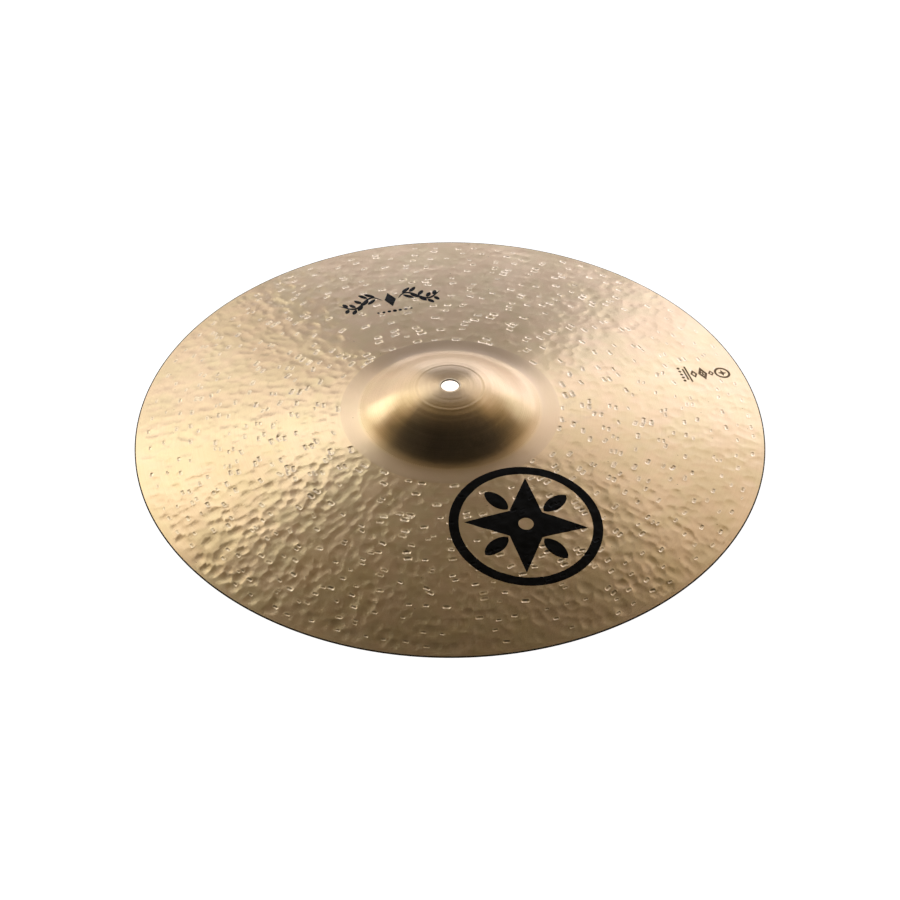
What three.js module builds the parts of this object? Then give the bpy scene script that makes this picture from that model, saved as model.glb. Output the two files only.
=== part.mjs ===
// An 18 inch crash cymbal. It is one piece of cast, rolled and lathed bell bronze: a thin disc with
// a raised bell in the middle, a gently domed bow around it, and a half inch hole for the stand.
// It stands on its rim, with +Z up along its axis and the origin under the hole, level with the rim.
// All lengths are in millimetres.

import * as THREE from "three";

// Driving dimensions
const RIM_RADIUS = 228.6; // 18 inches across
const HOLE_RADIUS = 6.35; // half an inch across
const HEIGHT = 48.5; // from the plane that the rim rests on to the crown
const SEAT_RADIUS = 10; // the flat ring around the hole, where the felts press
const CREASE_RADIUS = 65.5; // where the bell meets the bow
const CREASE_HEIGHT = 26;
const CREASE_SLOPE = THREE.MathUtils.degToRad(13); // how steeply the bell comes down to it
const CROWN_REACH = 31; // how far out the crown holds its level before it turns down
const FOOT_REACH = 14.5; // how far up the bell's flank its hollow foot reaches
const BELL_THICKNESS = 1.2;
const RIM_THICKNESS = 0.65; // the bow is lathed thinner towards its rim
const HOLE_EDGE_BREAK = 0.4;

// How finely the round shapes are divided
const STEPS_AROUND = 96;
const BELL_STEPS = 12;
const BOW_STEPS = 6;

// The thickness of the metal, measured square to its surface.
function thicknessAt(radius) {
  const outward = (radius - CREASE_RADIUS) / (RIM_RADIUS - CREASE_RADIUS);
  return THREE.MathUtils.lerp(BELL_THICKNESS, RIM_THICKNESS, Math.max(0, outward));
}

// The circle of the bow's top surface, centred on the axis. It passes through the crease and
// through the top of the rim, which is high enough for the rim's lower edge to lie at height 0.
function bowArc() {
  const circleThrough = (rimHeight) => {
    const rimSquare = RIM_RADIUS ** 2 + rimHeight ** 2;
    const creaseSquare = CREASE_RADIUS ** 2 + CREASE_HEIGHT ** 2;
    const centre = (rimSquare - creaseSquare) / (2 * (rimHeight - CREASE_HEIGHT));
    return { centre, radius: Math.hypot(RIM_RADIUS, rimHeight - centre) };
  };
  const level = circleThrough(RIM_THICKNESS);
  const rimSlope = Math.asin(RIM_RADIUS / level.radius);
  return circleThrough(RIM_THICKNESS * Math.cos(rimSlope));
}

// The top surface from the seat to the rim: points, each with the surface's normal there.
function topSurface() {
  const crown = new THREE.Vector2(SEAT_RADIUS, HEIGHT);
  const crease = new THREE.Vector2(CREASE_RADIUS, CREASE_HEIGHT);
  const upTheFlank = new THREE.Vector2(-Math.cos(CREASE_SLOPE), Math.sin(CREASE_SLOPE));
  const bell = new THREE.CubicBezierCurve(
    crown,
    new THREE.Vector2(SEAT_RADIUS + CROWN_REACH, HEIGHT),
    crease.clone().addScaledVector(upTheFlank, FOOT_REACH),
    crease,
  );
  const surface = [];
  for (let step = 0; step <= BELL_STEPS; step += 1) {
    const tangent = bell.getTangent(step / BELL_STEPS);
    const normal = new THREE.Vector2(-tangent.y, tangent.x);
    surface.push({ point: bell.getPoint(step / BELL_STEPS), normal });
  }

  const { centre, radius } = bowArc();
  const creaseAngle = Math.asin(CREASE_RADIUS / radius);
  const rimAngle = Math.asin(RIM_RADIUS / radius);
  const bowNormal = new THREE.Vector2(Math.sin(creaseAngle), Math.cos(creaseAngle));
  surface.at(-1).normal.add(bowNormal).normalize();
  for (let step = 1; step <= BOW_STEPS; step += 1) {
    const angle = THREE.MathUtils.lerp(creaseAngle, rimAngle, step / BOW_STEPS);
    const normal = new THREE.Vector2(Math.sin(angle), Math.cos(angle));
    const point = normal.clone().multiplyScalar(radius);
    point.y += centre;
    surface.push({ point, normal });
  }
  return surface;
}

// Two points that break a sharp corner of the outline, one on each of its sides.
function brokenCorner(before, corner, after) {
  const towards = (end) => end.clone().sub(corner).setLength(HOLE_EDGE_BREAK).add(corner);
  return [towards(before), towards(after)];
}

// The closed outline of one half of the section: out along the underside, back over the top.
function sectionOutline() {
  const surface = topSurface();
  const top = surface.map(({ point }) => point).reverse();
  const underside = surface.map(({ point, normal }) =>
    point.clone().addScaledVector(normal, -thicknessAt(point.x)),
  );
  const holeTop = new THREE.Vector2(HOLE_RADIUS, HEIGHT);
  const holeUnder = new THREE.Vector2(HOLE_RADIUS, HEIGHT - BELL_THICKNESS);
  const outline = [
    ...brokenCorner(holeTop, holeUnder, underside[0]),
    ...underside,
    ...top,
    ...brokenCorner(top.at(-1), holeTop, holeUnder),
  ];
  outline.push(outline[0].clone());
  return outline;
}

function cymbal() {
  const geometry = new THREE.LatheGeometry(sectionOutline(), STEPS_AROUND);
  geometry.rotateX(Math.PI / 2);
  const bronze = new THREE.MeshStandardMaterial({
    name: "bronze",
    color: 0xc8a878,
    roughness: 0.35,
    metalness: 1,
  });
  const mesh = new THREE.Mesh(geometry, bronze);
  mesh.name = "cymbal";
  return mesh;
}

const crashCymbal = new THREE.Group();
crashCymbal.add(cymbal());

export default crashCymbal;
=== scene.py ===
"""An 18 inch hand-hammered bronze crash cymbal, dressed around its CAD model."""

import math

import bpy
import numpy as np
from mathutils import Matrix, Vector
from mathutils.geometry import delaunay_2d_cdt


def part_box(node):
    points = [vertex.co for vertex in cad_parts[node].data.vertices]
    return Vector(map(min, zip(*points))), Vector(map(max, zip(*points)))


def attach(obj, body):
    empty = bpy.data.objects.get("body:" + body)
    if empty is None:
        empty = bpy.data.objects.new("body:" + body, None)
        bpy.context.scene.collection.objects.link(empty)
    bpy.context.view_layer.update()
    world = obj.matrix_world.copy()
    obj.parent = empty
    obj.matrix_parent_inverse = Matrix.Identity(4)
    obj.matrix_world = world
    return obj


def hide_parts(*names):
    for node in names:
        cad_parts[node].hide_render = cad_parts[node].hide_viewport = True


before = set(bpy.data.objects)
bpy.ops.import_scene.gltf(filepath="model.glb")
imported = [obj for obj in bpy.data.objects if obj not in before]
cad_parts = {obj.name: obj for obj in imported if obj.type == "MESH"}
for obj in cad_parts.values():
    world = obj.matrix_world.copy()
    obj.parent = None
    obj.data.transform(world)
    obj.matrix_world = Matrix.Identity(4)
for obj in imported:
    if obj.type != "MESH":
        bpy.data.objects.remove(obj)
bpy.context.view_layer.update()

MM = 0.001

# ---------------------------------------------------------------------------
# The disc's section, in millimetres, with the CAD model's driving dimensions
# ---------------------------------------------------------------------------

CAD_LOW, CAD_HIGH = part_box("cymbal")
RIM_RADIUS = (CAD_HIGH.x - CAD_LOW.x) / 2 / MM
HEIGHT = CAD_HIGH.z / MM
HOLE_RADIUS = 6.35
HOLE_EDGE = 0.4
SEAT_RADIUS = 10.0
CREASE_RADIUS = 65.5
CREASE_HEIGHT = 26.0
CREASE_SLOPE = math.radians(13)
CROWN_REACH = 31.0
FOOT_REACH = 14.5
BELL_THICKNESS = 1.2
RIM_THICKNESS = 0.65
RIM_BULGE = 0.25  # the rim's edge is rounded this far in from its outermost circle

# What the lathe leaves: a soft crease, and ridges and grooves round it and round the crown.
CREASE_SOFTNESS = 0.9
SOFTENING_REACH = 4.0  # how far each point is averaged with its neighbours
SOFTENED_BAND = 6.0  # how far to each side of the crease the section is softened
RIDGES = (
    # radius, width, height
    (71.5, 4.0, -0.2),
    (64.0, 2.6, 0.25),
    (24.6, 0.6, 0.19),
    (23.0, 0.5, -0.15),
    (19.6, 0.5, 0.05),
    (17.2, 0.45, 0.045),
    (14.8, 0.45, 0.045),
    (12.6, 0.4, 0.04),
)
BELL_RINGS = 11  # fainter turned rings between the crown and the crease
BELL_RING_HEIGHT = 0.05
BELL_RING_WIDTH = 0.75
FIRST_BELL_RING = 30.0
BELL_RING_REACH = 33.0  # from the first of them to the last

TABLE_STEP = 0.05  # how finely the section is tabulated


def bell_outline(steps=2000):
    """The bell's top from the seat to the crease, a cubic Bezier curve, as radii and heights."""
    t = np.linspace(0, 1, steps)
    crown = (SEAT_RADIUS, HEIGHT)
    over = (SEAT_RADIUS + CROWN_REACH, HEIGHT)
    foot = (
        CREASE_RADIUS - FOOT_REACH * math.cos(CREASE_SLOPE),
        CREASE_HEIGHT + FOOT_REACH * math.sin(CREASE_SLOPE),
    )
    crease = (CREASE_RADIUS, CREASE_HEIGHT)
    weights = ((1 - t) ** 3, 3 * (1 - t) ** 2 * t, 3 * (1 - t) * t**2, t**3)
    corners = (crown, over, foot, crease)
    radii = sum(w * p[0] for w, p in zip(weights, corners))
    heights = sum(w * p[1] for w, p in zip(weights, corners))
    return radii, heights


def bow_circle():
    """The centre's height and the radius of the bow's circle, through the crease and the rim."""

    def through(rim_height):
        rim_square = RIM_RADIUS**2 + rim_height**2
        crease_square = CREASE_RADIUS**2 + CREASE_HEIGHT**2
        centre = (rim_square - crease_square) / (2 * (rim_height - CREASE_HEIGHT))
        return centre, math.hypot(RIM_RADIUS, rim_height - centre)

    rim_slope = math.asin(RIM_RADIUS / through(RIM_THICKNESS)[1])
    return through(RIM_THICKNESS * math.cos(rim_slope))


def section_table():
    """Radii, heights and slopes of the top surface, finely tabulated from the axis past the rim."""
    radii = np.arange(0, RIM_RADIUS + 10, TABLE_STEP)
    centre, circle = bow_circle()
    bow = centre + np.sqrt(circle**2 - radii**2)
    bell = np.interp(radii, *bell_outline())
    heights = np.where(radii < CREASE_RADIUS, bell, bow)
    reach = np.arange(-SOFTENING_REACH, SOFTENING_REACH + TABLE_STEP / 2, TABLE_STEP)
    kernel = np.exp(-0.5 * (reach / CREASE_SOFTNESS) ** 2)
    softened = np.convolve(heights, kernel / kernel.sum(), mode="same")
    heights = np.where(np.abs(radii - CREASE_RADIUS) < SOFTENED_BAND, softened, heights)
    ridges = list(RIDGES)
    for index in range(BELL_RINGS):
        outward = (index + 0.35 * math.sin(5 * index)) / (BELL_RINGS - 1)
        height = BELL_RING_HEIGHT * math.cos(2.3 * index)
        ridges.append((FIRST_BELL_RING + BELL_RING_REACH * outward, BELL_RING_WIDTH, height))
    for middle, width, height in ridges:
        heights = heights + height * np.exp(-0.5 * ((radii - middle) / width) ** 2)
    return radii, heights, np.gradient(heights, TABLE_STEP)


SECTION = section_table()


def section_height(radius):
    return np.interp(radius, SECTION[0], SECTION[1])


def section_slope(radius):
    return np.interp(radius, SECTION[0], SECTION[2])


def thickness_at(radius):
    outward = (radius - CREASE_RADIUS) / (RIM_RADIUS - CREASE_RADIUS)
    return BELL_THICKNESS + (RIM_THICKNESS - BELL_THICKNESS) * np.clip(outward, 0, 1)


# ---------------------------------------------------------------------------
# Hammering: crisp marks that the lathe didn't reach, among overlapping shallow dents
# ---------------------------------------------------------------------------

rng = np.random.default_rng(18)

FIRST_ROW = 81.0
LAST_ROW = 222.0
ROW_GAP = 9.8
MARK_SPACING = 16.5
MARK_STRAY = 0.2  # how far a mark strays along its circle, as a share of their spacing
FIRST_ROW_WANDER = 0.5  # how far the marks of the first row stray from their circle
ROW_WANDER = (3.0, 1.0)  # the same for the next rows and at the rim
MISSING_SHARE = 0.25
PAIR_SHARE = (0.45, 0.08)  # marks struck twice, beside the bell and at the rim
MARK_LENGTH = 3.1  # half of a mark's length beside the bell, along the circle
MARK_WIDTH = 1.45
MARK_CORNER = 0.7
MARK_SHRINK = 0.3  # how much smaller the marks are at the rim
MARK_SIZE = (0.65, 1.15)  # as a share of the full size
MARK_TILT = 0.14
PAIR_GAP = (4.6, 6.0)  # from one mark of a pair to the other, across the circle
PAIR_SLIDE = 1.5  # along it
PAIR_MARGIN = 6.0  # no mark is paired nearer than this to the first or last row
MARK_DEPTH = (0.08, 0.36)
MARK_WALL = (0.7, 1.5)  # how far in from its outline a mark slopes down to its floor
LIP_HEIGHT = 0.05  # of the lip that the hammer raises round a mark
LIP_WIDTH = 0.5
LIP_EDGE = 0.3  # where a mark's wall starts, outside a full-sized mark's outline

DENT_GAP = 7.0  # between neighbouring dents, along the circle
DENT_ROW_GAP = 6.4
DENT_LENGTH = (3.6, 6.2)  # half of a dent's length along the circle
DENT_WIDTH = (3.8, 6.6)
DENT_STRAY = 0.25
DENT_WANDER = 1.6
DENT_TILT = 0.3
DENT_SLOPE = (0.015, 0.115)  # at a dent's two ends
HARDEST_TURN = math.radians(-140)  # the side that was hammered hardest
HARDEST_SHARE = 0.1  # how much deeper its dents are than the average
DENT_SHARPNESS = 40.0  # how sharply two dents meet, per millimetre of depth
WAVES = 80
WAVE_SPREAD = (11.0, 22.0)
WAVE_HEIGHT = 0.16

TOP_SLOPE_STEP = 0.08  # how far apart heights are compared to find a slope
UNDER_SLOPE_STEP = 0.2
UNDER_SHARE = 0.8  # how much of the dents' depth shows on the underside


def make_marks():
    """One row per mark: x, y, turn, half length, half width, depth, wall."""
    marks = []
    radius = FIRST_ROW
    while radius < LAST_ROW:
        outward = (radius - FIRST_ROW) / (LAST_ROW - FIRST_ROW)
        wander = ROW_WANDER[0] + (ROW_WANDER[1] - ROW_WANDER[0]) * outward
        if radius == FIRST_ROW:
            wander = FIRST_ROW_WANDER
        count = round(2 * math.pi * radius / MARK_SPACING)
        start = rng.random()
        for index in range(count):
            turn = 2 * math.pi * (index + start + rng.normal(0, MARK_STRAY)) / count
            r = radius + rng.normal(0, wander)
            size = (1 - MARK_SHRINK * outward) * rng.uniform(*MARK_SIZE)
            missing = rng.random() < MISSING_SHARE
            paired = rng.random() < PAIR_SHARE[0] + (PAIR_SHARE[1] - PAIR_SHARE[0]) * outward
            tilt = rng.normal(0, MARK_TILT)
            depth, wall = rng.uniform(*MARK_DEPTH), rng.uniform(*MARK_WALL)
            gap = rng.choice((-1, 1)) * rng.uniform(*PAIR_GAP)
            slide = rng.normal(0, PAIR_SLIDE)
            if missing or r > LAST_ROW:
                continue
            places = [(r, turn)]
            if paired and FIRST_ROW + PAIR_MARGIN < r < LAST_ROW - PAIR_MARGIN:
                places.append((r + gap * size, turn + slide / r))
            for place_r, place_turn in places:
                x, y = place_r * math.cos(place_turn), place_r * math.sin(place_turn)
                along = place_turn + math.pi / 2 + tilt
                length, width = MARK_LENGTH * size, MARK_WIDTH * size
                marks.append((x, y, along, length, width, depth, wall))
        radius += ROW_GAP
    return np.array(marks)


def make_dents():
    """One row per dent: x, y, turn, half length, half width, depth."""
    dents = []
    radius = FIRST_ROW - 2
    while radius < LAST_ROW + 3:
        count = round(2 * math.pi * radius / DENT_GAP)
        start = rng.random()
        for index in range(count):
            turn = 2 * math.pi * (index + start + rng.normal(0, DENT_STRAY)) / count
            r = radius + rng.normal(0, DENT_WANDER)
            tilt = rng.normal(0, DENT_TILT)
            length, width = rng.uniform(*DENT_LENGTH), rng.uniform(*DENT_WIDTH)
            depth = rng.uniform(*DENT_SLOPE) * length / 2
            depth *= 1 + HARDEST_SHARE * math.cos(turn - HARDEST_TURN)
            x, y = r * math.cos(turn), r * math.sin(turn)
            dents.append((x, y, turn + math.pi / 2 + tilt, length, width, depth))
        radius += DENT_ROW_GAP
    return np.array(dents)


def make_waves():
    """One row per slow swelling or hollow: x, y, spread, height."""
    waves = []
    for _ in range(WAVES):
        r = math.sqrt(rng.uniform(FIRST_ROW**2, LAST_ROW**2))
        turn = rng.uniform(0, 2 * math.pi)
        height = WAVE_HEIGHT * rng.uniform(-1, 1)
        waves.append((r * math.cos(turn), r * math.sin(turn), rng.uniform(*WAVE_SPREAD), height))
    return np.array(waves)


MARKS = make_marks()
DENTS = make_dents()
SWELLINGS = make_waves()


def local(x, y, row):
    """Coordinates along and across a mark or dent."""
    dx, dy = x - row[0], y - row[1]
    c, s = math.cos(row[2]), math.sin(row[2])
    return dx * c + dy * s, dy * c - dx * s


def within(x, y, row, distance):
    """The numbers of the points in a square round a mark or dent."""
    return np.flatnonzero((np.abs(x - row[0]) < distance) & (np.abs(y - row[1]) < distance))


def smooth_step(low, high, value):
    t = np.clip((value - low) / (high - low), 0, 1)
    return t * t * (3 - 2 * t)


def mark_size(row):
    return row[4] / MARK_WIDTH


def mark_distance(u, v, row):
    """Millimetres outside a mark's outline, a rectangle with round corners; negative inside."""
    corner = MARK_CORNER * mark_size(row)
    along = np.abs(u) - row[3] + corner
    across = np.abs(v) - row[4] + corner
    outside = np.hypot(np.maximum(along, 0), np.maximum(across, 0))
    return outside + np.minimum(np.maximum(along, across), 0) - corner


def broad_relief(x, y):
    """The height of the shallow dents and swellings, none on the bell and at the very rim."""
    overlap = np.ones_like(x)
    for row in DENTS:
        near = within(x, y, row, 2 * max(row[3], row[4]))
        u, v = local(x[near], y[near], row)
        depth = row[5] * (1 - (u / row[3]) ** 2 - (v / row[4]) ** 2)
        overlap[near] += np.exp(DENT_SHARPNESS * depth)
    total = -np.log(overlap) / DENT_SHARPNESS
    for row in SWELLINGS:
        near = within(x, y, row, 3 * row[2])
        square = (x[near] - row[0]) ** 2 + (y[near] - row[1]) ** 2
        total[near] += row[3] * np.exp(-0.5 * square / row[2] ** 2)
    r = np.hypot(x, y)
    fade = smooth_step(FIRST_ROW - 3.5, FIRST_ROW + 1.5, r)
    return total * fade * smooth_step(RIM_RADIUS, RIM_RADIUS - 5, r)


def mark_relief(x, y):
    """The height of the marks, each a flat floor inside a raised lip."""
    total = np.zeros_like(x)
    for row in MARKS:
        near = within(x, y, row, row[3] + row[4] + 1)
        size = mark_size(row)
        outside = mark_distance(*local(x[near], y[near], row), row) / size
        lip = LIP_HEIGHT * np.exp(-((outside / LIP_WIDTH) ** 2))
        total[near] += size * (lip - row[5] * smooth_step(LIP_EDGE, -row[6], outside))
    return total


def relief(x, y):
    return broad_relief(x, y) + mark_relief(x, y)


def top_height(x, y):
    return section_height(np.hypot(x, y)) + broad_relief(x, y) + mark_relief(x, y)


def top_normals(x, y):
    """Unit normals of the top surface, from central differences of its relief."""
    step = TOP_SLOPE_STEP
    gx = (relief(x + step, y) - relief(x - step, y)) / (2 * step)
    gy = (relief(x, y + step) - relief(x, y - step)) / (2 * step)
    r = np.maximum(np.hypot(x, y), 1e-9)
    slope = section_slope(r)
    normals = np.stack([-gx - slope * x / r, -gy - slope * y / r, np.ones_like(x)], -1)
    return normals / np.linalg.norm(normals, axis=1, keepdims=True)


# ---------------------------------------------------------------------------
# The disc's mesh
# ---------------------------------------------------------------------------

# The top and the underside reach from the hole's broken edge to the rim's rounding.
FIRST_RADIUS = HOLE_RADIUS + HOLE_EDGE
LAST_RADIUS = RIM_RADIUS - RIM_BULGE

HOLE_STEPS = 96
RIM_STEPS = 720
BELL_GRID = 1.5
TOP_GRID = 1.95
UNDER_BELL_GRID = 2.2
UNDER_GRID = 4.2
MARK_CLEARANCE = 1.1  # between a mark's outline and the points of the plain grid
FLOOR_EDGE = -0.55  # where the floor's metal starts, outside a full-sized mark's outline
RIM_ROUNDING = 7  # points across the rim's edge, with its first and last
TOLERANCE = 1e-3
MARK_LOOPS = (0.75, 0.3, -0.3, -0.78)  # millimetres outside a full-sized mark's outline
MARK_STEPS = 12
EDGE_BAND = 0.7  # the band of the top beside the rim's edge, most of it painted near black as shade
SEAT_BAND = 1.2  # the band round the hole that felts and washers have polished


def ring(radius, count, start=0.0):
    turn = (np.arange(count) + start) * 2 * np.pi / count
    return np.stack([radius * np.cos(turn), radius * np.sin(turn)], -1)


def staggered_rings(low, high, gap):
    """Rings of points between two radii, as far apart along each ring as across them."""
    count = max(2, round((high - low) / gap))
    radii = np.linspace(low, high, count + 1)[1:-1]
    rows = [ring(r, round(2 * np.pi * r / gap), i % 2 / 2) for i, r in enumerate(radii)]
    return np.concatenate(rows)


def mark_points(row):
    """Loops of points along a mark's wall and floor."""
    turn = (np.arange(MARK_STEPS) + 0.5) * 2 * np.pi / MARK_STEPS
    c, s = np.cos(turn), np.sin(turn)
    size = mark_size(row)
    spine = np.linspace(-1, 1, 3) * (row[3] - row[4])
    uv = [np.stack([spine, np.zeros(3)], -1)]
    for offset in MARK_LOOPS:
        corner = MARK_CORNER * size
        stretch = (np.abs(c) ** 6 + np.abs(s) ** 6) ** (-1 / 6)
        reach = corner + offset * size
        u = (row[3] - corner) * np.clip(1.3 * stretch * c, -1, 1) + reach * c
        v = (row[4] - corner) * np.clip(1.3 * stretch * s, -1, 1) + reach * s
        uv.append(np.stack([u, v], -1))
    uv = np.concatenate(uv)
    co, si = math.cos(row[2]), math.sin(row[2])
    x = row[0] + uv[:, 0] * co - uv[:, 1] * si
    y = row[1] + uv[:, 0] * si + uv[:, 1] * co
    return np.stack([x, y], -1)


def clear_of_marks(points):
    keep = np.ones(len(points), bool)
    for row in MARKS:
        near = within(points[:, 0], points[:, 1], row, row[3] + row[4] + 1)
        u, v = local(points[near, 0], points[near, 1], row)
        keep[near[mark_distance(u, v, row) < MARK_CLEARANCE]] = False
    return points[keep]


def triangulate(points, edges):
    """Triangles over the plan, counter-clockwise, without the hole. Returns points and faces."""
    vectors = [Vector((float(x), float(y))) for x, y in points]
    made, _, faces, _, _, _ = delaunay_2d_cdt(vectors, edges, [], 0, TOLERANCE)
    plan = np.array([(v.x, v.y) for v in made])
    faces = np.array([tuple(f) for f in faces])
    a, b, c = (plan[faces[:, k]] for k in range(3))
    ab, ac = b - a, c - a
    turn = ab[:, 0] * ac[:, 1] - ab[:, 1] * ac[:, 0]
    faces[turn < 0] = faces[turn < 0][:, ::-1]
    on_hole = np.hypot(plan[:, 0], plan[:, 1]) < FIRST_RADIUS + TOLERANCE
    return plan, faces[~on_hole[faces].all(1)]


def top_plan(outlines):
    bell = staggered_rings(FIRST_RADIUS + SEAT_BAND, CREASE_RADIUS + 2, BELL_GRID)
    bow = staggered_rings(CREASE_RADIUS + 1, LAST_RADIUS - EDGE_BAND, TOP_GRID)
    points = [
        ring(FIRST_RADIUS, HOLE_STEPS),
        ring(FIRST_RADIUS + SEAT_BAND, HOLE_STEPS, 0.5),
        ring(LAST_RADIUS - EDGE_BAND, RIM_STEPS, 0.5),
        ring(LAST_RADIUS, RIM_STEPS),
        bell,
        clear_of_marks(bow),
        *[mark_points(row) for row in MARKS],
    ]
    edges = []
    count = sum(len(p) for p in points)
    for outline in outlines:
        indices = count + np.arange(len(outline))
        edges += list(zip(indices.tolist(), np.roll(indices, -1).tolist()))
        points.append(outline)
        count += len(outline)
    return triangulate(np.concatenate(points), edges)


def under_plan():
    points = [
        ring(FIRST_RADIUS, HOLE_STEPS),
        ring(LAST_RADIUS, RIM_STEPS),
        staggered_rings(FIRST_RADIUS, CREASE_RADIUS, UNDER_BELL_GRID),
        staggered_rings(CREASE_RADIUS, LAST_RADIUS, UNDER_GRID),
    ]
    return triangulate(np.concatenate(points), [])


def under_surface(plan):
    """Places and normals on the underside, straight through the metal from each plan point."""
    x, y = plan.T
    r = np.hypot(x, y)
    slope = section_slope(r)
    lean = np.stack([-slope * x / r, -slope * y / r, np.ones_like(r)], -1)
    lean /= np.linalg.norm(lean, axis=1, keepdims=True)
    height = section_height(r) + UNDER_SHARE * broad_relief(x, y)
    places = np.stack([x, y, height], -1) - lean * thickness_at(r)[:, None]
    step = UNDER_SLOPE_STEP
    gx = UNDER_SHARE * (broad_relief(x + step, y) - broad_relief(x - step, y)) / (2 * step)
    gy = UNDER_SHARE * (broad_relief(x, y + step) - broad_relief(x, y - step)) / (2 * step)
    normals = np.stack([gx + slope * x / r, gy + slope * y / r, -np.ones_like(r)], -1)
    return places, normals / np.linalg.norm(normals, axis=1, keepdims=True)


def rim_profile(top, under):
    """Half an ellipse from the top surface's last point to the underside's, bulging outwards."""
    centre = (top + under) / 2
    half = (top - under) / 2
    outward = np.array([half[1], -half[0]])
    outward = outward / np.linalg.norm(outward)
    if outward[0] < 0:
        outward = -outward
    profile = []
    for angle in np.linspace(0, np.pi, RIM_ROUNDING)[1:-1]:
        point = centre + half * math.cos(angle) + outward * RIM_BULGE * math.sin(angle)
        normal = half / np.linalg.norm(half) * math.cos(angle) + outward * math.sin(angle)
        profile.append((point, normal / np.linalg.norm(normal)))
    return profile


def hole_profile():
    """The hole's wall with its two broken edges, from the top seat to the lower one."""
    profile = []
    for angle in (math.pi / 6, math.pi / 3, math.pi / 2):
        c, s = math.cos(angle), math.sin(angle)
        point = (FIRST_RADIUS - HOLE_EDGE * s, HEIGHT - HOLE_EDGE * (1 - c))
        profile.append((point, (-s, c)))
    middle = HEIGHT - BELL_THICKNESS / 2
    below = [((r, 2 * middle - z), (nr, -nz)) for (r, z), (nr, nz) in reversed(profile)]
    return profile + below


def loop_of(plan, radius):
    """The numbers of the plan's points on one circle, in order of angle from the +X axis."""
    r = np.hypot(plan[:, 0], plan[:, 1])
    on = np.flatnonzero(np.abs(r - radius) < TOLERANCE)
    turn = np.arctan2(plan[on, 1], plan[on, 0]) % (2 * np.pi)
    turn[turn > 2 * np.pi - 1e-6] = 0
    return on[np.argsort(turn)]


class Shell:
    """Vertices, normals and faces gathered into one mesh."""

    def __init__(self):
        self.places, self.normals, self.faces, self.count = [], [], [], 0

    def add(self, places, normals):
        first = self.count
        self.places.append(places)
        self.normals.append(normals)
        self.count += len(places)
        return first

    def bridge(self, top, profile, under, inward):
        """Faces from one loop to another past loops that follow a profile. Returns how many."""
        turn = np.arange(len(top)) * 2 * np.pi / len(top)
        c, s, flat = np.cos(turn), np.sin(turn), np.ones(len(top))
        loops = [top]
        for (r, z), (out, up) in profile:
            first = self.add(
                np.stack([r * c, r * s, z * flat], -1),
                np.stack([out * c, out * s, up * flat], -1),
            )
            loops.append(first + np.arange(len(top)))
        loops.append(under)
        for upper, lower in zip(loops[:-1], loops[1:]):
            low, high = (upper, lower) if inward else (lower, upper)
            next_low, next_high = np.roll(low, -1), np.roll(high, -1)
            self.faces.append(np.stack([low, next_low, next_high], -1))
            self.faces.append(np.stack([low, next_high, high], -1))
        return 2 * len(top) * (len(loops) - 1)

    def make_object(self, name):
        mesh = bpy.data.meshes.new(name)
        places = np.concatenate(self.places) * MM
        mesh.from_pydata(places.tolist(), [], np.concatenate(self.faces).tolist())
        mesh.polygons.foreach_set("use_smooth", np.ones(len(mesh.polygons), bool))
        mesh.update()
        mesh.normals_split_custom_set_from_vertices(np.concatenate(self.normals).tolist())
        obj = bpy.data.objects.new(name, mesh)
        bpy.context.scene.collection.objects.link(obj)
        return obj


# The last slot holds near-black painted shade for the rim's edge, the hole's wall and the top's
# last band.
BRONZE, BELL, FLOOR, LIP, SEAT, EDGE_PAINTED_SHADE = range(6)


def top_slots(centres):
    """The material number of each top face."""
    radius = np.hypot(*centres.T)
    slots = np.where(radius < CREASE_RADIUS, BELL, BRONZE).astype(np.int32)
    for row in MARKS:
        near = within(centres[:, 0], centres[:, 1], row, row[3] + row[4])
        u, v = local(centres[near, 0], centres[near, 1], row)
        outside = mark_distance(u, v, row) / mark_size(row)
        # Mark walls take the paler painted-highlight palette, mark floors the darker painted-shade
        # palette.
        slots[near[outside < LIP_EDGE]] = LIP
        slots[near[outside < FLOOR_EDGE]] = FLOOR
    slots[radius < FIRST_RADIUS + SEAT_BAND] = SEAT
    # The top's last band beside the rim takes the near-black painted shade.
    slots[radius > LAST_RADIUS - 0.7 * EDGE_BAND] = EDGE_PAINTED_SHADE
    return slots


def build_disc(plan, plan_faces, top_places, top_dirs):
    lower_plan, lower_faces = under_plan()
    under_places, under_dirs = under_surface(lower_plan)

    shell = Shell()
    top_first = shell.add(top_places, top_dirs)
    shell.faces.append(plan_faces + top_first)
    under_first = shell.add(under_places, under_dirs)
    shell.faces.append(lower_faces[:, ::-1] + under_first)
    slots = [top_slots(plan[plan_faces].mean(1)), np.full(len(lower_faces), BRONZE, np.int32)]

    top_rim = loop_of(plan, LAST_RADIUS)
    under_rim = loop_of(lower_plan, LAST_RADIUS)
    top_point = np.array([LAST_RADIUS, top_places[top_rim[0], 2]])
    under_at = under_places[under_rim[0]]
    under_point = np.array([math.hypot(under_at[0], under_at[1]), under_at[2]])
    profile = rim_profile(top_point, under_point)
    count = shell.bridge(top_rim + top_first, profile, under_rim + under_first, False)
    # The rim's edge is painted near black as shade.
    slots.append(np.full(count, EDGE_PAINTED_SHADE, np.int32))

    top_hole = loop_of(plan, FIRST_RADIUS) + top_first
    under_hole = loop_of(lower_plan, FIRST_RADIUS) + under_first
    count = shell.bridge(top_hole, hole_profile(), under_hole, True)
    # The hole's wall is painted near black as shade.
    slots.append(np.full(count, EDGE_PAINTED_SHADE, np.int32))

    disc = shell.make_object("hammered_disc")
    disc.data.polygons.foreach_set("material_index", np.concatenate(slots))
    return disc


# ---------------------------------------------------------------------------
# Printed and etched marks: outlines on the plan, as (outline, holes) pairs
# ---------------------------------------------------------------------------

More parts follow.
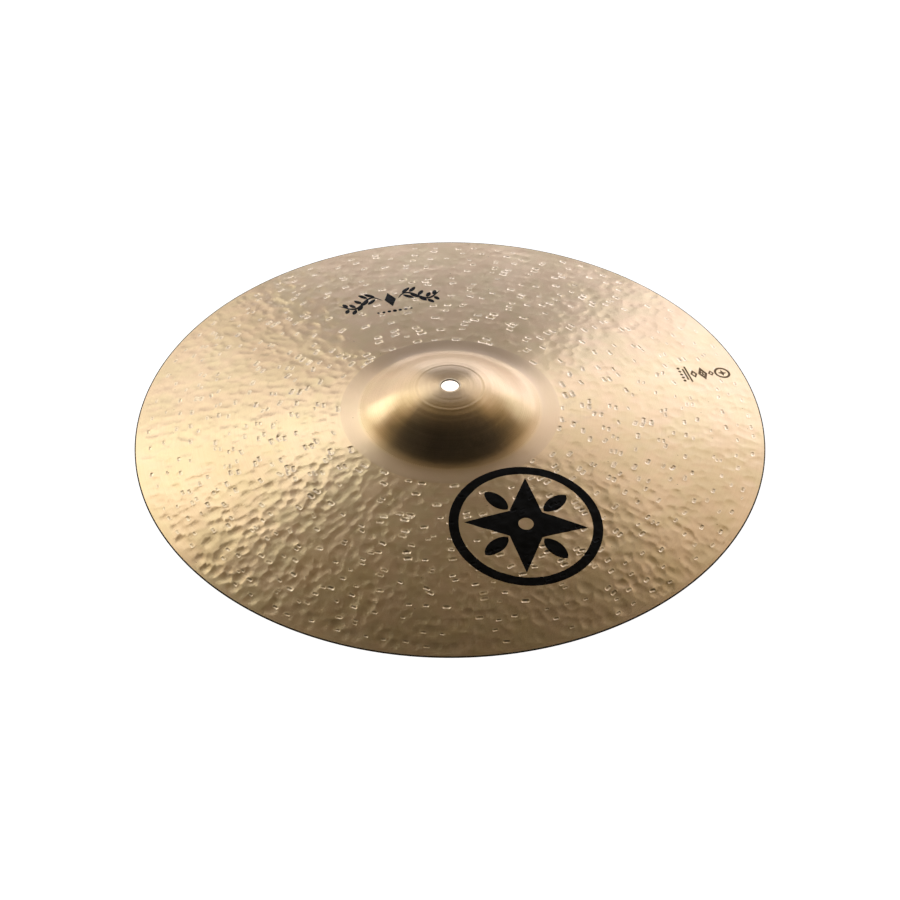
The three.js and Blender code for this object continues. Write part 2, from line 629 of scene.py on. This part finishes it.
EMBLEM_CENTRE = (53.0, -115.5)
EMBLEM_RADIUS = 54.0
ORNAMENT_CENTRE = (-45.0, 137.0)
ORNAMENT_TURN = math.radians(13)
STAMP_CENTRE = (188.0, 62.0)
STAMP_TURN = math.radians(18)
INK_RISE = 0.05
INK_ROOT = 0.03  # how far the ink's underside is sunk in the metal


def circle(x, y, radius, gap=1.3):
    return ring(radius, max(12, round(2 * math.pi * radius / gap))) + (x, y)


def polygon(corners, gap=1.3):
    """A closed outline with points along each of its straight sides."""
    outline = []
    corners = np.asarray(corners, float)
    for start, end in zip(corners, np.roll(corners, -1, 0)):
        steps = max(1, round(float(np.linalg.norm(end - start)) / gap))
        outline += [start + (end - start) * k / steps for k in range(steps)]
    return np.array(outline)


def star(x, y, outer, inner, points, start=0.0):
    corners = []
    for index in range(2 * points):
        radius = inner if index % 2 else outer
        turn = start + math.pi * index / points
        corners.append((x + radius * math.cos(turn), y + radius * math.sin(turn)))
    return polygon(corners)


def ribbon(path, width, steps=30):
    """A stroke along a path given as a function of 0..1, tapering to points at both ends."""
    t = np.linspace(0, 1, steps)
    middle = np.array([path(value) for value in t])
    along = np.gradient(middle, axis=0)
    across = np.stack([-along[:, 1], along[:, 0]], -1)
    across /= np.linalg.norm(across, axis=1, keepdims=True)
    half = 0.5 * width * np.sin(np.pi * t) ** 0.6
    half[[0, -1]] = 0
    left = middle + across * half[:, None]
    right = middle - across * half[:, None]
    return np.concatenate([left, right[-2:0:-1]])


def leaf(x, y, turn, length, width):
    """A pointed leaf that starts at a point and grows in a direction."""
    c, s = math.cos(turn), math.sin(turn)

    def spine(t):
        return (x + length * t * c, y + length * t * s)

    return ribbon(spine, width, 14)


def placed(outline, centre, turn, flip=1):
    c, s = math.cos(turn), math.sin(turn)
    x, y = outline[:, 0] * flip, outline[:, 1]
    return np.stack([centre[0] + x * c - y * s, centre[1] + x * s + y * c], -1)


def emblem_shapes():
    """A compass star in a ring."""
    x, y = EMBLEM_CENTRE
    r = EMBLEM_RADIUS
    ring_band = (circle(x, y, r), [circle(x, y, 0.87 * r)])
    long_star = star(x, y, 0.80 * r, 0.30 * r, 4, math.pi / 2)
    shapes = [ring_band, (long_star, [circle(x, y, 0.10 * r)])]
    for index in range(4):
        turn = math.pi / 4 + index * math.pi / 2
        leaf_x = x + 0.33 * r * math.cos(turn)
        leaf_y = y + 0.33 * r * math.sin(turn)
        shapes.append((leaf(leaf_x, leaf_y, turn, 0.42 * r, 0.20 * r), []))
    return shapes


def stem(t):
    """The ornament's wavy stem, as a function of 0..1."""
    return (6 + 33 * t, 7 * math.sin(2.2 * math.pi * t) * (1 - 0.35 * t))


def ornament_shapes():
    """A spray of leaves to each side of a lozenge, over a row of dots."""
    outlines = []
    for flip in (-1, 1):
        outlines.append((ribbon(stem, 2.4, 40), flip))
        for index in range(5):
            t = 0.14 + 0.17 * index
            x, y = stem(t)
            for side in (-1, 1):
                turn = side * (0.75 + 0.1 * index)
                start_y = y + side * 1.4
                outlines.append((leaf(x, start_y, turn, 9.5 - 0.8 * index, 3.4), flip))
    shapes = [(placed(o, ORNAMENT_CENTRE, ORNAMENT_TURN, flip), []) for o, flip in outlines]
    lozenge = polygon([(0, 10), (4.4, 0), (0, -10), (-4.4, 0)])
    shapes.append((placed(lozenge, ORNAMENT_CENTRE, ORNAMENT_TURN), []))
    for index in range(-3, 4):
        dot = circle(4.2 * index, -16.5, 1.6 - 0.2 * abs(index), 0.6)
        shapes.append((placed(dot, ORNAMENT_CENTRE, ORNAMENT_TURN), []))
    return shapes


def stamp_shapes():
    """A small ring, a row of lozenges and some bars, along a line out from the middle."""
    outlines = [(circle(14, 0, 6.2, 0.8), [circle(14, 0, 4.5, 0.8)])]
    outlines.append((star(14, 0, 3.6, 1.5, 4), []))
    for x, reach, half in ((5.0, 3.0, 2.4), (-1.5, 7.5, 3.6), (-8.6, 4.5, 2.8)):
        outer = polygon([(x + half, 0), (x, reach), (x - half, 0), (x, -reach)], 0.8)
        outlines.append((outer, [0.4 * (outer - (x, 0)) + (x, 0)]))
    for x, reach in ((-1.5, 1.8), (-13.0, 9.0), (-15.2, 6.5)):
        bar = [(x - 0.7, -reach), (x + 0.7, -reach), (x + 0.7, reach), (x - 0.7, reach)]
        outlines.append((polygon(bar, 0.8), []))
    for index in range(-2, 3):
        outlines.append((circle(-18.4, 3.6 * index, 1.2, 0.5), []))
    shapes = []
    for outline, holes in outlines:
        holes = [placed(hole, STAMP_CENTRE, STAMP_TURN) for hole in holes]
        shapes.append((placed(outline, STAMP_CENTRE, STAMP_TURN), holes))
    return shapes


def inside(points, outline):
    """Which points lie inside a closed outline, by counting crossings."""
    x, y = points.T
    result = np.zeros(len(points), bool)
    for (x0, y0), (x1, y1) in zip(outline, np.roll(outline, -1, 0)):
        if y0 == y1:
            continue
        crosses = (y0 > y) != (y1 > y)
        result ^= crosses & (x < (x1 - x0) * (y - y0) / (y1 - y0) + x0)
    return result


def covered(points, shapes):
    result = np.zeros(len(points), bool)
    for outline, holes in shapes:
        low, high = outline.min(0), outline.max(0)
        near = np.flatnonzero(((points > low) & (points < high)).all(1))
        filled = inside(points[near], outline)
        for hole in holes:
            filled &= ~inside(points[near], hole)
        result[near[filled]] = True
    return result


def ink_piece(name, shapes, plan, plan_faces, top_places, top_dirs):
    """A thin closed film over the disc's own faces inside the shapes."""
    faces = plan_faces[covered(plan[plan_faces].mean(1), shapes)]
    used, faces = np.unique(faces, return_inverse=True)
    faces = faces.reshape(-1, 3)
    places, dirs = top_places[used], top_dirs[used]
    count = len(used)
    edges = np.concatenate([faces[:, [0, 1]], faces[:, [1, 2]], faces[:, [2, 0]]])
    known = set(map(tuple, edges.tolist()))
    border = np.array([edge for edge in edges.tolist() if (edge[1], edge[0]) not in known])
    start, end = border.T
    walls = np.stack([start, start + count, end + count], -1)
    more_walls = np.stack([start, end + count, end], -1)
    shell = Shell()
    shell.add(places + INK_RISE * dirs, dirs)
    shell.add(places - INK_ROOT * dirs, -dirs)
    shell.faces = [faces, faces[:, ::-1] + count, walls, more_walls]
    return shell.make_object(name)


# ---------------------------------------------------------------------------
# Materials
# ---------------------------------------------------------------------------


class Nodes:
    """A material's node tree, with short ways to add and link its nodes."""

    def __init__(self, name):
        self.material = bpy.data.materials.new(name)
        self.material.use_nodes = True
        self.tree = self.material.node_tree
        self.shader = self.tree.nodes["Principled BSDF"]

    def set(self, **values):
        for name, value in values.items():
            self.shader.inputs[name.replace("_", " ")].default_value = value

    def add(self, kind, settings=None, **inputs):
        node = self.tree.nodes.new("ShaderNode" + kind)
        for key, value in (settings or {}).items():
            setattr(node, key, value)
        for key, value in inputs.items():
            self.feed(node.inputs[key.replace("_", " ")], value)
        return node

    def feed(self, socket, value):
        if isinstance(value, bpy.types.NodeSocket):
            self.tree.links.new(value, socket)
        else:
            socket.default_value = value

    def maths(self, operation, first, second=0.0):
        node = self.add("Math", {"operation": operation})
        self.feed(node.inputs[0], first)
        self.feed(node.inputs[1], second)
        return node.outputs[0]

    def blend(self, share, first, second):
        """A mix of two colours."""
        node = self.add("Mix", {"data_type": "RGBA"})
        self.feed(node.inputs[0], share)
        self.feed(node.inputs[6], first)
        self.feed(node.inputs[7], second)
        return node.outputs[2]

    def ramp(self, value, low, high, to_low=0.0, to_high=1.0):
        """A smooth step from one value to another."""
        node = self.add("MapRange", {"interpolation_type": "SMOOTHSTEP"})
        for index, item in enumerate((value, low, high, to_low, to_high)):
            self.feed(node.inputs[index], item)
        return node.outputs[0]

    def radius(self):
        """Millimetres from the cymbal's axis."""
        place = self.add("TexCoord").outputs["Object"]
        split = self.add("SeparateXYZ", Vector=place)
        x = self.maths("MULTIPLY", split.outputs[0], split.outputs[0])
        y = self.maths("MULTIPLY", split.outputs[1], split.outputs[1])
        return self.maths("MULTIPLY", self.maths("SQRT", self.maths("ADD", x, y)), 1 / MM)

    def rings(self, radius, per_mm, detail=2.0):
        """A random value for each turned ring."""
        w = self.maths("MULTIPLY", radius, per_mm)
        return self.add("TexNoise", {"noise_dimensions": "1D"}, W=w, Detail=detail).outputs[0]

    def cloud(self, scale, detail=3.0):
        place = self.add("TexCoord").outputs["Object"]
        return self.add("TexNoise", Vector=place, Scale=scale, Detail=detail).outputs[0]

    def specks(self, gap, size, share):
        """Small round spots, about a gap apart in millimetres where they aren't missing."""
        place = self.add("TexCoord").outputs["Object"]
        cells = self.add(
            "TexVoronoi", {"voronoi_dimensions": "2D"}, Vector=place, Scale=1 / MM / gap
        )
        spot = self.ramp(cells.outputs["Distance"], 0.6 * size / gap, 1.3 * size / gap, 1, 0)
        chance = self.add("SeparateXYZ", Vector=cells.outputs["Color"]).outputs[0]
        return self.maths("MULTIPLY", spot, self.maths("LESS_THAN", chance, share))

    def bump(self, height, distance):
        node = self.add("Bump", Height=height, Distance=distance, Strength=1.0)
        self.feed(self.shader.inputs["Normal"], node.outputs[0])

    def radial_tangent(self):
        tangent = self.add("Tangent", {"direction_type": "RADIAL", "axis": "Z"})
        self.feed(self.shader.inputs["Tangent"], tangent.outputs[0])


METAL_PINK = (0.875, 0.64, 0.43, 1)
METAL_OLIVE = (0.82, 0.635, 0.40, 1)
METAL_DEEP = (0.70, 0.485, 0.29, 1)
METAL_RING = (0.56, 0.38, 0.22, 1)
METAL_PLAIN = (0.72, 0.52, 0.36, 1)
METAL_CROWN = (0.72, 0.52, 0.34, 1)
PLAIN_RING = (66.5, 79.2)
CROWN_EDGE = (22.2, 23.4)
GLOSSIEST = 0.285  # the roughness of the shiniest metal


def turned_metal(name, anisotropy, roughness):
    """Turned bronze: fine rings, and faint cloudy tarnish in two hues."""
    nodes = Nodes(name)
    nodes.set(Metallic=1, Anisotropic=anisotropy, Anisotropic_Rotation=0.25)
    nodes.radial_tangent()
    radius = nodes.radius()
    fine = nodes.ramp(nodes.rings(radius, 1.1), 0.3, 0.75, 0, 0.28)
    coarse = nodes.ramp(nodes.rings(radius, 0.22), 0.3, 0.7, 0, 0.16)
    tarnish = nodes.ramp(nodes.cloud(14.0), 0.35, 0.7, 0, 0.25)
    share = nodes.maths("ADD", nodes.maths("ADD", fine, coarse), tarnish)
    hue = nodes.blend(nodes.ramp(nodes.cloud(50.0), 0.38, 0.62), METAL_PINK, METAL_OLIVE)
    rough = nodes.ramp(nodes.cloud(30.0), 0.3, 0.7, roughness, roughness + 0.04)
    nodes.feed(nodes.shader.inputs["Roughness"], rough)
    nodes.bump(nodes.rings(radius, 0.8, 1.0), 0.00003)
    return nodes, radius, nodes.blend(share, hue, METAL_DEEP)


def lathed_bronze():
    """The bow, with the plain ring beside the bell and a few dark specks."""
    nodes, radius, colour = turned_metal("lathed_bronze", 0.9, GLOSSIEST)
    inner = nodes.ramp(radius, PLAIN_RING[0] - 1.5, PLAIN_RING[0] + 1)
    outer = nodes.ramp(radius, PLAIN_RING[1] - 0.3, PLAIN_RING[1] + 0.3, 1, 0)
    plain = nodes.maths("MULTIPLY", nodes.maths("MULTIPLY", inner, outer), 0.7)
    colour = nodes.blend(plain, colour, METAL_PLAIN)
    colour = nodes.blend(nodes.specks(26.0, 0.3, 0.35), colour, (0.10, 0.06, 0.03, 1))
    nodes.feed(nodes.shader.inputs["Base Color"], colour)
    return nodes.material


def bell_bronze():
    """The bell, more finely turned, with thin dark rings and a duller crown."""
    nodes, radius, colour = turned_metal("bell_bronze", 0.75, GLOSSIEST)
    scratches = nodes.ramp(nodes.rings(radius, 0.9), 0.45, 0.7, 0, 0.75)
    colour = nodes.blend(scratches, nodes.blend(0.5, colour, METAL_DEEP), METAL_RING)
    crown = nodes.ramp(radius, *CROWN_EDGE, 0.7, 0)
    nodes.feed(nodes.shader.inputs["Base Color"], nodes.blend(crown, colour, METAL_CROWN))
    return nodes.material


def mark_bronze(name, dull, bright):
    """Metal of a hammer mark, which the lathe didn't reach: its gloss is even all round."""
    nodes = Nodes(name)
    nodes.set(Metallic=1)
    scale = nodes.ramp(nodes.cloud(700.0, 3.0), 0.35, 0.65)
    nodes.feed(nodes.shader.inputs["Base Color"], nodes.blend(scale, dull, bright))
    nodes.feed(nodes.shader.inputs["Roughness"], nodes.ramp(scale, 0, 1, 0.34, GLOSSIEST))
    return nodes.material


# The floor's darker palette is painted shade inside each hammer mark.
def mark_floor_painted_shade():
    return mark_bronze("mark_floor_painted_shade", (0.66, 0.49, 0.33, 1), (0.86, 0.68, 0.49, 1))


# The lip's paler palette is a painted highlight round each hammer mark's outline.
def mark_lip_painted_highlight():
    return mark_bronze("mark_lip_painted_highlight", (0.80, 0.61, 0.43, 1), (0.93, 0.75, 0.56, 1))


def seat_bronze():
    """The band that the felts have polished round the hole."""
    nodes = Nodes("seat_bronze")
    nodes.set(Metallic=1)
    shade = nodes.ramp(nodes.cloud(300.0, 2.0), 0.3, 0.7)
    colour = nodes.blend(shade, (0.80, 0.60, 0.42, 1), (0.94, 0.76, 0.56, 1))
    nodes.feed(nodes.shader.inputs["Base Color"], colour)
    nodes.feed(nodes.shader.inputs["Roughness"], nodes.ramp(shade, 0, 1, 0.36, 0.29))
    return nodes.material


def rim_painted_shade():
    """The rim's edge, the hole's wall and the top's last band, near black: painted shade for the
    dark line these edges show.
    """
    nodes = Nodes("rim_painted_shade")
    nodes.set(Specular_IOR_Level=0.2)
    shade = nodes.ramp(nodes.cloud(60.0, 3.0), 0.35, 0.65)
    colour = nodes.blend(shade, (0.006, 0.004, 0.003, 1), (0.02, 0.013, 0.008, 1))
    nodes.feed(nodes.shader.inputs["Base Color"], colour)
    nodes.feed(nodes.shader.inputs["Roughness"], nodes.ramp(shade, 0, 1, 0.5, 0.65))
    return nodes.material


def print_ink():
    """Screen-printed black with a slight gloss, worn thin in places."""
    nodes = Nodes("print_ink")
    nodes.set(Specular_IOR_Level=0.05)
    shade = nodes.ramp(nodes.cloud(160.0, 4.0), 0.35, 0.7)
    colour = nodes.blend(shade, (0.0035, 0.003, 0.003, 1), (0.009, 0.0075, 0.007, 1))
    nodes.feed(nodes.shader.inputs["Base Color"], colour)
    nodes.feed(nodes.shader.inputs["Roughness"], nodes.ramp(shade, 0, 1, 0.34, 0.46))
    return nodes.material


def etched_brown():
    """The etched stamp: bronze burnt brown."""
    nodes = Nodes("etched_brown")
    nodes.set(Metallic=1)
    shade = nodes.ramp(nodes.cloud(500.0, 3.0), 0.3, 0.7)
    colour = nodes.blend(shade, (0.08, 0.045, 0.02, 1), (0.19, 0.12, 0.06, 1))
    nodes.feed(nodes.shader.inputs["Base Color"], colour)
    nodes.feed(nodes.shader.inputs["Roughness"], nodes.ramp(shade, 0, 1, 0.4, 0.5))
    return nodes.material


def floor_white():
    """A bright, even sweep with only a breath of unevenness."""
    nodes = Nodes("floor_white")
    nodes.set(Roughness=0.9, Specular_IOR_Level=0.0, Emission_Strength=1.0)
    nodes.set(Emission_Color=(1, 1, 1, 1))
    shade = nodes.ramp(nodes.cloud(3.0, 2.0), 0.3, 0.7)
    colour = nodes.blend(shade, (0.80, 0.80, 0.80, 1), (0.84, 0.84, 0.84, 1))
    nodes.feed(nodes.shader.inputs["Base Color"], colour)
    return nodes.material


# ---------------------------------------------------------------------------
# Studio
# ---------------------------------------------------------------------------

CAMERA_DISTANCE = 2.5
CAMERA_ELEVATION = math.radians(41.08)
CAMERA_LENS = 137.7
SENSOR_WIDTH = 36
AIM_HEIGHT = -0.0133
LIGHT_DISTANCE = 4.0
FLOOR_HALF = 8.0
WORLD_GREY = 0.0005

# Tints of the lights, as red, green and blue.
NEUTRAL = (1.0, 1.0, 1.0)
COOL = (0.95, 1.0, 1.15)
GREENISH = (0.93, 1.0, 0.95)
WARM = (1.3, 1.0, 0.5)

# Softboxes: name, azimuth (0 behind the cymbal, positive to the right), elevation, width and
# height as angles seen from the cymbal, brightness and tint.
SOFTBOXES = (
    ("left", -52, 14, 24, 24, 2.9, GREENISH),
    ("left_high", -52, 40, 26, 26, 0.4, WARM),
    ("back_left_high", -26, 42, 26, 18, 1.7, GREENISH),
    ("back_left", -26, 17, 26, 28, 1.2, NEUTRAL),
    ("back_low", 0, 5, 24, 8, 2.0, COOL),
    ("back", 0, 13, 24, 8, 2.0, COOL),
    ("back_high", 0, 41, 22, 8, 1.0, NEUTRAL),
    ("back_right_high", 25, 42, 24, 20, 1.0, NEUTRAL),
    ("back_right", 25, 17, 26, 28, 2.0, COOL),
    ("right", 51, 14, 26, 24, 1.3, GREENISH),
    ("right_high", 51, 42, 26, 30, 0.3, WARM),
    ("overhead", 0, 64, 44, 14, 0.3, WARM),
    ("front_left", -118, 10, 50, 18, 0.4, NEUTRAL),
    ("front", 180, 10, 60, 18, 0.4, NEUTRAL),
    ("front_right", 118, 10, 50, 18, 0.4, NEUTRAL),
)


def make_camera():
    data = bpy.data.cameras.new("camera")
    data.lens = CAMERA_LENS
    data.sensor_width = SENSOR_WIDTH
    camera = bpy.data.objects.new("camera", data)
    bpy.context.scene.collection.objects.link(camera)
    camera.location = (
        0,
        -CAMERA_DISTANCE * math.cos(CAMERA_ELEVATION),
        CAMERA_DISTANCE * math.sin(CAMERA_ELEVATION),
    )
    towards = Vector((0, 0, AIM_HEIGHT)) - camera.location
    camera.rotation_euler = towards.to_track_quat("-Z", "Y").to_euler()
    bpy.context.scene.camera = camera


def softbox(name, azimuth, elevation, width, height, brightness, tint):
    data = bpy.data.lights.new(name, "AREA")
    data.shape = "RECTANGLE"
    data.size = 2 * LIGHT_DISTANCE * math.tan(math.radians(width) / 2)
    data.size_y = 2 * LIGHT_DISTANCE * math.tan(math.radians(height) / 2)
    data.energy = brightness * math.pi * data.size * data.size_y
    data.color = tint
    light = bpy.data.objects.new(name, data)
    bpy.context.scene.collection.objects.link(light)
    az, el = math.radians(azimuth), math.radians(elevation)
    direction = Vector((math.sin(az) * math.cos(el), math.cos(az) * math.cos(el), math.sin(el)))
    light.location = LIGHT_DISTANCE * direction
    light.rotation_euler = (-direction).to_track_quat("-Z", "Y").to_euler()


def make_floor():
    mesh = bpy.data.meshes.new("floor")
    h = FLOOR_HALF
    mesh.from_pydata([(-h, -h, 0), (h, -h, 0), (h, h, 0), (-h, h, 0)], [], [(0, 1, 2, 3)])
    floor = bpy.data.objects.new("floor", mesh)
    bpy.context.scene.collection.objects.link(floor)
    mesh.materials.append(floor_white())


def make_world():
    world = bpy.data.worlds.new("studio")
    world.use_nodes = True
    background = world.node_tree.nodes["Background"]
    background.inputs["Color"].default_value = (WORLD_GREY, WORLD_GREY, WORLD_GREY, 1)
    bpy.context.scene.world = world


make_camera()
make_floor()
make_world()
for settings in SOFTBOXES:
    softbox(*settings)
bpy.context.scene.view_settings.view_transform = "Standard"

# ---------------------------------------------------------------------------
# The cymbal
# ---------------------------------------------------------------------------

PRINTS = (
    ("printed_emblem", emblem_shapes(), print_ink()),
    ("printed_ornament", ornament_shapes(), print_ink()),
    ("etched_stamp", stamp_shapes(), etched_brown()),
)
outlines = []
for _, shapes, _ in PRINTS:
    for outline, holes in shapes:
        outlines += [outline, *holes]

plan, plan_faces = top_plan(outlines)
top_places = np.stack([*plan.T, top_height(*plan.T)], -1)
top_dirs = top_normals(*plan.T)

disc = build_disc(plan, plan_faces, top_places, top_dirs)
for make in (lathed_bronze, bell_bronze, mark_floor_painted_shade, mark_lip_painted_highlight, seat_bronze, rim_painted_shade):
    disc.data.materials.append(make())
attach(disc, "root")
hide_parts("cymbal")

for name, shapes, material in PRINTS:
    piece = ink_piece(name, shapes, plan, plan_faces, top_places, top_dirs)
    piece.data.materials.append(material)
    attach(piece, "root")
